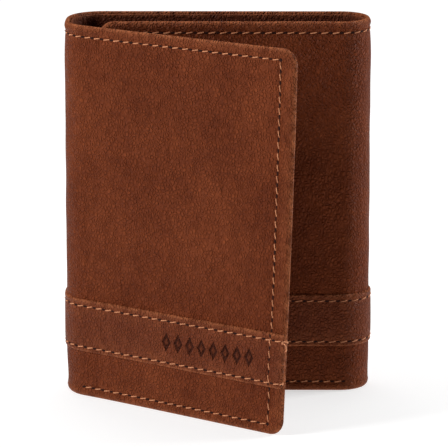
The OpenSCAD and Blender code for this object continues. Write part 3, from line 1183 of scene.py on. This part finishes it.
# ---------------------------------------------------------------- lining and pockets
@dataclass
class Lining:
    """The inner leather that faces all three panels and both folds."""

    out_t: float = 1.5
    tuck_t: float = 2.5
    thickness: float = 0.5
    inset: float = 1.1
    corner: float = 3.4
    top: float = TOP - 0.7
    stands_for: dict[str, Names] = field(default_factory=lambda: {
        "flap": ("flap_facing", "left_front_fold_lining"),
        "back_left": ("left_rear_fold_lining", "centre_facing"),
        "back_right": ("right_fold_lining",),
        "tuck": ("tuck_facing",),
    })

    def near(self, s: Array) -> Array:
        """Depth of the side next to the notes."""
        return self.out_t + (self.tuck_t - self.out_t) * smooth((s - COURSE.tuck_root + 8) / 9)

    def outer(self, s: Array, z: Array, d: Array) -> Array:
        """Depth of the side next to the notes, sprung at its top."""
        return self.near(s) + self.thickness / 2 * (1 - quarter_round(d, 0.25))

    def inner(self, s: Array, z: Array, d: Array) -> Array:
        """Depth of the side that shows when the wallet is open."""
        on_flap = smooth((-COURSE.root - s) / 2)
        half, full = self.thickness / 2, self.thickness - 0.05 * on_flap
        return self.near(s) + half + (full - half) * quarter_round(d, 0.25)

    def build(self) -> None:
        """Makes the four stretches."""
        rim = (0, 0.06, 0.15, 0.25)
        z = lines(self.inset, self.top, 2.0, (self.inset, (*rim, 1)),
                  (self.top, downward((*rim, 1))))
        for part in STRETCHES:
            low, high = part.ends(self.inset)
            ends = [(low, rim)] * part.free_low + [(high, downward(rim))] * part.free_high
            sheet = Sheet("lining_", lines(low, high, 1.2, *SEAMS, *ends), z, self.outer,
                          self.inner, corner=self.corner, worn_and_highlit=0.4)
            lay_stretch(part, sheet, Look.INNER, self.stands_for)


def inward(ends: Pair, by: float) -> Pair:
    """Two ends brought nearer to each other."""
    return ends[0] + by, ends[1] - by


def three_sides(s: Pair, z: Pair, depth: float) -> list[Row]:
    """Rows of stitches up both sides and along the foot of a patch, on its inside face."""
    uprights = [Row(*z, at, True, depth, True) for at in s]
    return uprights + [Row(*s, z[0], False, depth, True)]


@dataclass
class Pockets:
    """Everything sewn on the lining: card pockets, the slip pocket and the window's frame.

    The card pockets lie one on another from a first depth, each a step deeper than the last.
    """

    tier_tops: tuple[float, ...] = (89, 77, 65)
    tier_names: tuple[str, ...] = ("top", "middle", "bottom")
    foot: float = 5.0
    width: float = 58.0
    flap_gap: float = 3.0
    tuck_gap: float = 2.6
    flap_first: float = 1.97
    flap_step: float = 0.25
    tuck_first: float = 3.02
    tuck_step: float = 0.35
    sewn_in: float = 1.3
    sewn_top: float = 64.0
    frame_z: Pair = (5, 89)
    frame_t: Pair = (3.36, 3.95)
    frame_half: float = 29.0
    opening_z: Pair = (14, 80)
    opening_half: float = 22.0
    board_gap: float = 0.6

    def patch(self, name: str, s: Pair, z: Pair, t: Pair, body: str, stands_for: str,
              look: Look = Look.INNER, slot: str = "inner_leather", hole: Sequence[float] = (),
              corner: float = 0.6, creased: bool = True) -> bpy.types.Object:
        """One flat patch on a panel.

        Args:
            name: name of the piece.
            s: its ends along the course.
            z: its foot and top.
            t: its outer and inner depths.
            body: the body that it rides on.
            stands_for: the CAD node that it replaces.
            look: its finish.
            slot: not used.
            hole: an opening, as two s and two z.
            corner: radius of its corners.
            creased: whether a line is pressed along its mouth.

        Returns:
            The piece.
        """
        half = (t[1] - t[0]) / 2
        reach = min(0.3, half)
        rim, mouth = (0, 0.05, 0.12, 0.3), (-3, -2.7, -2.45, -2.2, -1.95, -1.7, -1.4)

        def near(a: Array, b: Array, d: Array) -> Array:
            """Depth of the side next to the panel."""
            return t[0] + half * (1 - quarter_round(d, reach))

        def far(a: Array, b: Array, d: Array) -> Array:
            """Depth of the show side, with its pressed line."""
            full = t[0] + half + half * quarter_round(d, reach)
            if not creased:
                return full
            line = np.exp(-0.5 * ((b - z[1] + 2.2) / 0.22) ** 2) * smooth((d - 0.8) / 0.8)
            return full - 0.12 * line - 0.03 * smooth(d / 6) * ripple(a * 1.3, b * 1.1)

        def grid(ends: Pair, opening: Sequence[float], *more: Finer) -> Array:
            """Grid lines between two ends, finer there and round the opening."""
            at_ends = zip(ends, ((*rim, corner), downward((*rim, corner))))
            at_opening = zip(opening, (downward(rim), rim))
            return lines(*ends, 2.0, *at_ends, *at_opening, *more)

        sheet = Sheet(name, grid(s, hole[:2]), grid(z, hole[2:], (z[1], mouth)), near, far,
                      corner=corner, hole=hole, worn_and_highlit=0.7)
        piece = dress(sheet.build(), look)
        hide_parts(stands_for)
        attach(piece, body)
        return piece

    def build(self, stitching: Stitching) -> None:
        """Makes the patches and sews them."""
        root, middle, tiers = -COURSE.root, COURSE.centre_l / 2, len(self.tier_tops)
        flap_s = (root - self.flap_gap - self.width, root - self.flap_gap)
        tuck_at = COURSE.tuck_root + self.tuck_gap
        tuck_s = (tuck_at, tuck_at + self.width)
        for side, body, ends, first, step in (
                ("flap", "flap", flap_s, self.flap_first, self.flap_step),
                ("tuck", "tuck_panel", tuck_s, self.tuck_first, self.tuck_step)):
            for i, (name, top) in enumerate(zip(self.tier_names, self.tier_tops)):
                t = (first + i * step, first + (i + 1) * step)
                self.patch(f"{side}_{name}_card_tier", ends, (self.foot, top), t, body,
                           f"{side}_{name}_card_pocket")
        self.patch("slip_pocket", (2, COURSE.centre_l - 2), (3, 93), (2.02, 2.5), "centre",
                   "centre_slip_pocket")
        frame_s = (middle - self.frame_half, middle + self.frame_half)
        opening_s = (middle - self.opening_half, middle + self.opening_half)
        self.patch("window_frame", frame_s, self.frame_z, self.frame_t, "centre",
                   "id_window_frame", hole=(*opening_s, *self.opening_z), creased=False,
                   corner=1.5)
        cut_s = (COURSE.start + HEM + self.board_gap, root - 1)
        cut_z = inward((0, TOP), HEM + self.board_gap)
        self.patch("flap_board", cut_s, cut_z, (1.02, 1.18), "flap", "flap_stiffener",
                   Look.BOARD, "stiffener_board", creased=False)
        cloth = self.patch("flap_cloth", cut_s, cut_z, (1.2, 1.3), "flap", "flap_note_lining",
                           Look.CLOTH, "lining_cloth", creased=False)
        flat = ((cut_s[1] - cut_s[0]) * MM, (cut_z[1] - cut_z[0]) * MM)
        self.sew(stitching, flap_s, tuck_s, frame_s, opening_s, tiers)

    def sew(self, stitching: Stitching, flap_s: Pair, tuck_s: Pair, frame_s: Pair,
            opening_s: Pair, tiers: int) -> None:
        """Sews the patches to their panels.

        Args:
            stitching: the stitches.
            flap_s: ends of the flap's card pockets.
            tuck_s: ends of the tuck panel's card pockets.
            frame_s: ends of the window's frame.
            opening_s: ends of its opening.
            tiers: how many card pockets lie one on another.
        """
        pocket_z = (self.foot + self.sewn_in, self.sewn_top)
        flap_t = self.flap_first + tiers * self.flap_step
        tuck_t = self.tuck_first + tiers * self.tuck_step
        frame_t = self.frame_t[1]
        opening_s, opening_z = (inward(v, -self.sewn_in) for v in (opening_s, self.opening_z))
        groups = {
            "flap": [*three_sides(inward(flap_s, self.sewn_in), pocket_z, flap_t),
                     Row(FLAP_ROW, -COURSE.root - 2, BOTTOM_ROW, False, 1.95, True)],
            "tuck_panel": [*three_sides(inward(tuck_s, self.sewn_in), pocket_z, tuck_t),
                           Row(COURSE.tuck_root + 3, TUCK_ROW, BOTTOM_ROW, False, 3.0, True)],
            "centre": [*three_sides(inward(frame_s, self.sewn_in),
                                    inward(self.frame_z, self.sewn_in), frame_t),
                       *three_sides(opening_s, opening_z, frame_t),
                       Row(*opening_s, opening_z[1], False, frame_t, True)],
        }
        for body, rows in groups.items():
            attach(stitching.lay(f"inside_stitches_{body}", rows), body)

    def dress_kept(self) -> None:
        """Gives the CAD nodes that stay their finishes."""
        kept = {"centre_stiffener": Look.BOARD, "tuck_stiffener": Look.BOARD,
                "centre_note_lining": Look.CLOTH, "tuck_note_lining": Look.CLOTH,
                "id_pocket_spacer": Look.INNER, "id_window": Look.FILM}
        for name, look in kept.items():
            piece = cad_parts[name]
            piece.data.materials.clear()
            piece.data.materials.append(look.material)


# ---------------------------------------------------------------- studio
@dataclass
class Studio:
    """White sweep, soft light and the camera."""

    lens: float = 333.2
    camera_at: tuple[float, float, float] = (7.5, -1129.1, 326.7)
    pitch: float = 14.05
    yaw: float = -0.3
    key: float = 10.8
    fill: float = 0.02
    floor: float = 8.0

    def build(self) -> None:
        """Makes the floor, the lights and the camera."""
        mesh = bpy.data.meshes.new("studio_floor")
        half = self.floor / 2
        corners = [(-half, -half, 0), (half, -half, 0), (half, half, 0), (-half, half, 0)]
        mesh.from_pydata(corners, [], [(0, 1, 2, 3)])
        mesh.materials.append(Look.FLOOR.material)
        add("studio_floor", mesh)
        world = bpy.data.worlds.new("studio_world")
        world.use_nodes = True
        colour, strength = world.node_tree.nodes["Background"].inputs[:2]
        colour.default_value, strength.default_value = (1, 1, 1, 1), self.fill
        bpy.context.scene.world = world
        self.area("key_light", (-0.88, -0.32, 0.6), (0, 0, 0.05), 0.42, self.key)
        self.area("top_light", (0.0, 0.3, 0.9), (0, 0, 0.0), 0.7, self.key * 0.4)
        self.area("side_light", (0.8, 0.22, 0.35), (0.03, 0, 0.05), 0.35, self.key * 0.6)
        camera = add("camera", bpy.data.cameras.new("camera"))
        camera.data.lens, camera.data.sensor_width = self.lens, 36.0
        camera.data.clip_start, camera.data.clip_end = 0.05, 20
        camera.location = Vector(self.camera_at) * MM
        camera.rotation_euler = (math.radians(90 - self.pitch), 0, math.radians(-self.yaw))
        bpy.context.scene.camera = camera
        bpy.context.scene.view_settings.view_transform = "Standard"

    def area(self, name: str, at: Sequence[float], to: Sequence[float], size: float,
             power: float) -> None:
        """Adds a square soft box.

        Args:
            name: its name.
            at: its place, in metres.
            to: where it points.
            size: length of its side.
            power: its watts.
        """
        lamp = bpy.data.lights.new(name, "AREA")
        lamp.shape, lamp.size, lamp.energy = "SQUARE", size, power
        box = add(name, lamp)
        box.location = at
        box.rotation_euler = (Vector(to) - Vector(at)).to_track_quat("-Z", "Y").to_euler()


def main() -> None:
    """Builds the wallet and its studio."""
    logging.basicConfig(level=logging.INFO, format="%(name)s: %(message)s")
    OuterLeather().build()
    Band().build()
    stitching = Stitching()
    stitching.build()
    LooseEnds().build()
    Lining().build()
    pockets = Pockets()
    pockets.build(stitching)
    pockets.dress_kept()
    Studio().build()


if __name__ == "__main__":
    main()
